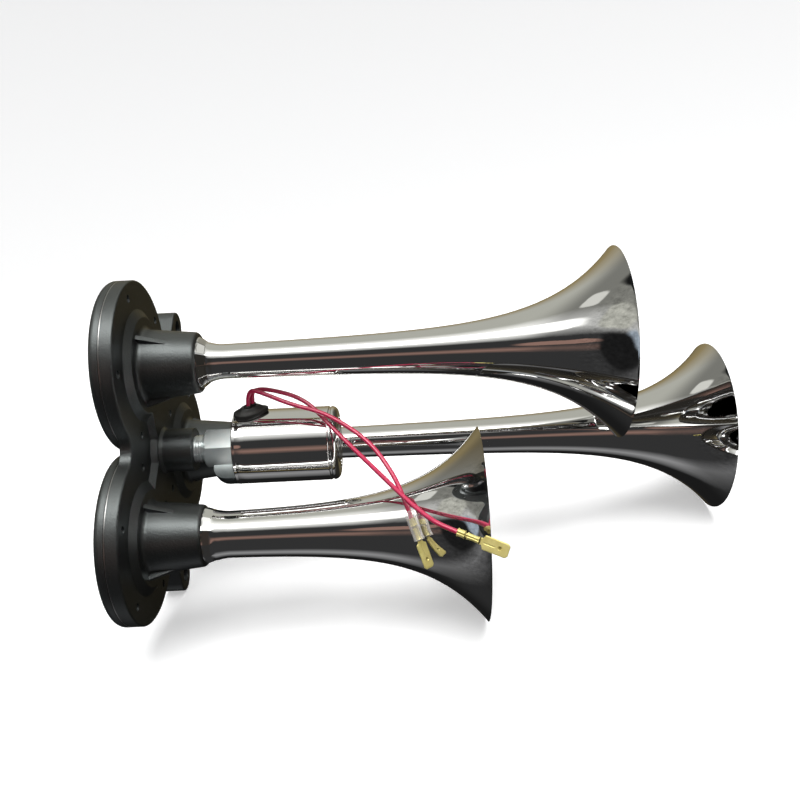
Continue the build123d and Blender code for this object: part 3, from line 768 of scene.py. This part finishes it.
# The room's surfaces, each as the light that it sends to the chrome.
DARK = (0.01, 0.01, 0.01)
SHADE = (0.03, 0.03, 0.03)
DAYLIGHT = (0.25, 0.25, 0.25)
BENCH = (0.25, 0.15, 0.12)
LAMP = (1.0, 1.0, 0.95)
WINDOW = (0.6, 0.6, 0.55)
CEILING = (0.4, 0.4, 0.35)
BOARDS = (0.25, 0.2, 0.1)
CURTAIN = (0.3, 0.35, 0.4)

ROOM_ROUND = [  # degrees round the horn from the bench's front, up and over, and what is there
    (-180, BOARDS), (-130, DARK), (-95, DARK), (-70, DAYLIGHT), (-50, SHADE), (5, SHADE), (15, BENCH),
    (25, SHADE), (45, SHADE), (65, LAMP), (85, LAMP), (105, CEILING), (150, CEILING), (180, BOARDS),
]
ROOM_THINGS = {  # middle and half size, in degrees along the room and round it, and the surface
    "ceiling lamp": ((-25, 70), (15, 10), LAMP),
    "window": ((-40, 115), (5, 10), WINDOW),
    "roof beam": ((-60, 140), (15, 10), DARK),
    "pale board": ((-65, 85), (10, 25), CEILING),
    "curtain": ((-85, 10), (10, 60), CURTAIN),
    "cupboard": ((-70, 0), (10, 50), DARK),
    "shelf": ((-40, 30), (20, 5), BENCH),
}
THING_EDGE = 0.3  # how soft a thing's edge is, as a share of its size
ROOM_R, ROOM_GLOW, LAMP_GLOW = 6.0, 1.12, 4.4  # metres, and the strength of the light


def make_room():
    """Workshop that only polished surfaces see: lamps above, shelves and a curtain to one side."""
    room = Finish("workshop round the bench", (0, 0, 0), 1.0)
    spot = room.place()
    x, y, z = (room.node("SeparateXYZ", None, {"Vector": spot}, at) for at in range(3))
    sway = (room.noise(0.55, 3, 0.6) - 0.5) * 5.0
    angle = room.maths("ARCTAN2", z, y * -1.0) * (180 / math.pi)
    side = room.maths("ARCSINE", room.maths("ABSOLUTE", x) / ROOM_R) * (-180 / math.pi)
    blinds = (room.noise(9, 2, 0.6, stretch=(0.12, 1, 1)) - 0.5) * 5.0  # thin uneven lines along the room
    share = (angle + sway + blinds) / 360 + 0.5
    stops = [((degrees + 180) / 360, tone) for degrees, tone in ROOM_ROUND]
    colour = room.node("ValToRGB", {"stops": stops}, {"Fac": share})
    colour = room.mix(room.smooth(side, -15, -35) * 0.6, colour, SHADE)  # far end, out of the light
    where = room.node("CombineXYZ", None, {"X": side + sway * 0.5, "Y": angle + sway})
    for (along, about), half, tone in ROOM_THINGS.values():
        offset = room.node("VectorMath", {"operation": "SUBTRACT"}, {0: where, 1: (along, about, 0)})
        share = room.node("VectorMath", {"operation": "DIVIDE"}, {0: offset, 1: (*half, 1)})
        square = room.node("VectorMath", {"operation": "MULTIPLY"}, {0: share, 1: share})
        reach = room.node("VectorMath", {"operation": "LENGTH"}, {0: square}, 1)
        colour = room.mix(room.smooth(reach, 1 + THING_EDGE, 1 - THING_EDGE), colour, tone)
    overhead = room.smooth(angle, 40, 60) * room.smooth(angle, 150, 130)
    gloom = room.smooth(x, 0.1 * ROOM_R, 0.42 * ROOM_R) * (1 - overhead)
    colour = room.mix(gloom * 0.75, colour, (0.02, 0.018, 0.014))
    lamp = room.smooth(angle, 62, 70) * room.smooth(angle, 86, 78) * room.smooth(side, -52, -36)
    mottle = room.smooth(side, -40, -56) * (room.noise(2.4, 5, 0.7) - 0.5) * 2.2
    strength = ROOM_GLOW + LAMP_GLOW * lamp + mottle
    glow = room.node("VectorMath", {"operation": "SCALE"}, {0: colour, "Scale": strength})
    room.set(Emission_Color=glow, Emission_Strength=1.0, Specular_IOR_Level=0.0)
    rows, columns = 24, 48
    points = []
    for r in range(rows + 1):
        polar = math.pi * (0.004 + 0.992 * r / rows)
        for c in range(columns):
            a = 2 * math.pi * c / columns
            out = ROOM_R * math.sin(polar)
            points.append((ROOM_R * math.cos(polar), out * math.sin(a), out * math.cos(a)))
    ball = stage_mesh("workshop", points, grid_faces(rows + 1, columns), room.material)
    ball.location = (0.14, 0.0, 0.0)
    for sight in ("camera", "diffuse", "transmission", "shadow", "volume_scatter"):
        setattr(ball, f"visible_{sight}", False)


def make_light(name, place, aim, size, power):
    """Soft box that polished surfaces don't show."""
    data = bpy.data.lights.new(name, "AREA")
    data.shape, data.size, data.size_y = "RECTANGLE", size[0], size[1]
    data.energy = power
    lamp = bpy.data.objects.new(name, data)
    bpy.context.scene.collection.objects.link(lamp)
    lamp.location = place
    lamp.rotation_euler = (Vector(aim) - Vector(place)).to_track_quat("-Z", "Y").to_euler()
    lamp.visible_glossy = False


def light_studio():
    world = bpy.data.worlds.new("studio air")
    world.use_nodes = True
    sky = world.node_tree.nodes["Background"]
    sky.inputs["Color"].default_value = (0.97, 0.98, 1.0, 1)
    sky.inputs["Strength"].default_value = 0.24
    bpy.context.scene.world = world
    scene = bpy.context.scene
    scene.view_settings.view_transform = "Standard"
    scene.view_settings.look = "None"
    make_light("soft box above", (0.1, 0.0, 1.6), (0.14, 0, 0), (1.8, 1.6), 44)
    make_light("soft box in front", (0.3, -1.4, 0.6), (0.14, 0, 0), (0.9, 0.7), 4)


make_trumpets()
make_thread()
make_can()
make_port()
make_grommet()
make_screws()
dress_solids()
sleeve = make_sleeve()
first_terminal = make_terminal("first")
second_terminal = make_terminal("second")
make_wire("first", WIRES["first"])
make_wire("second", WIRES["second"])
make_spring()
make_floor()
make_room()
light_studio()
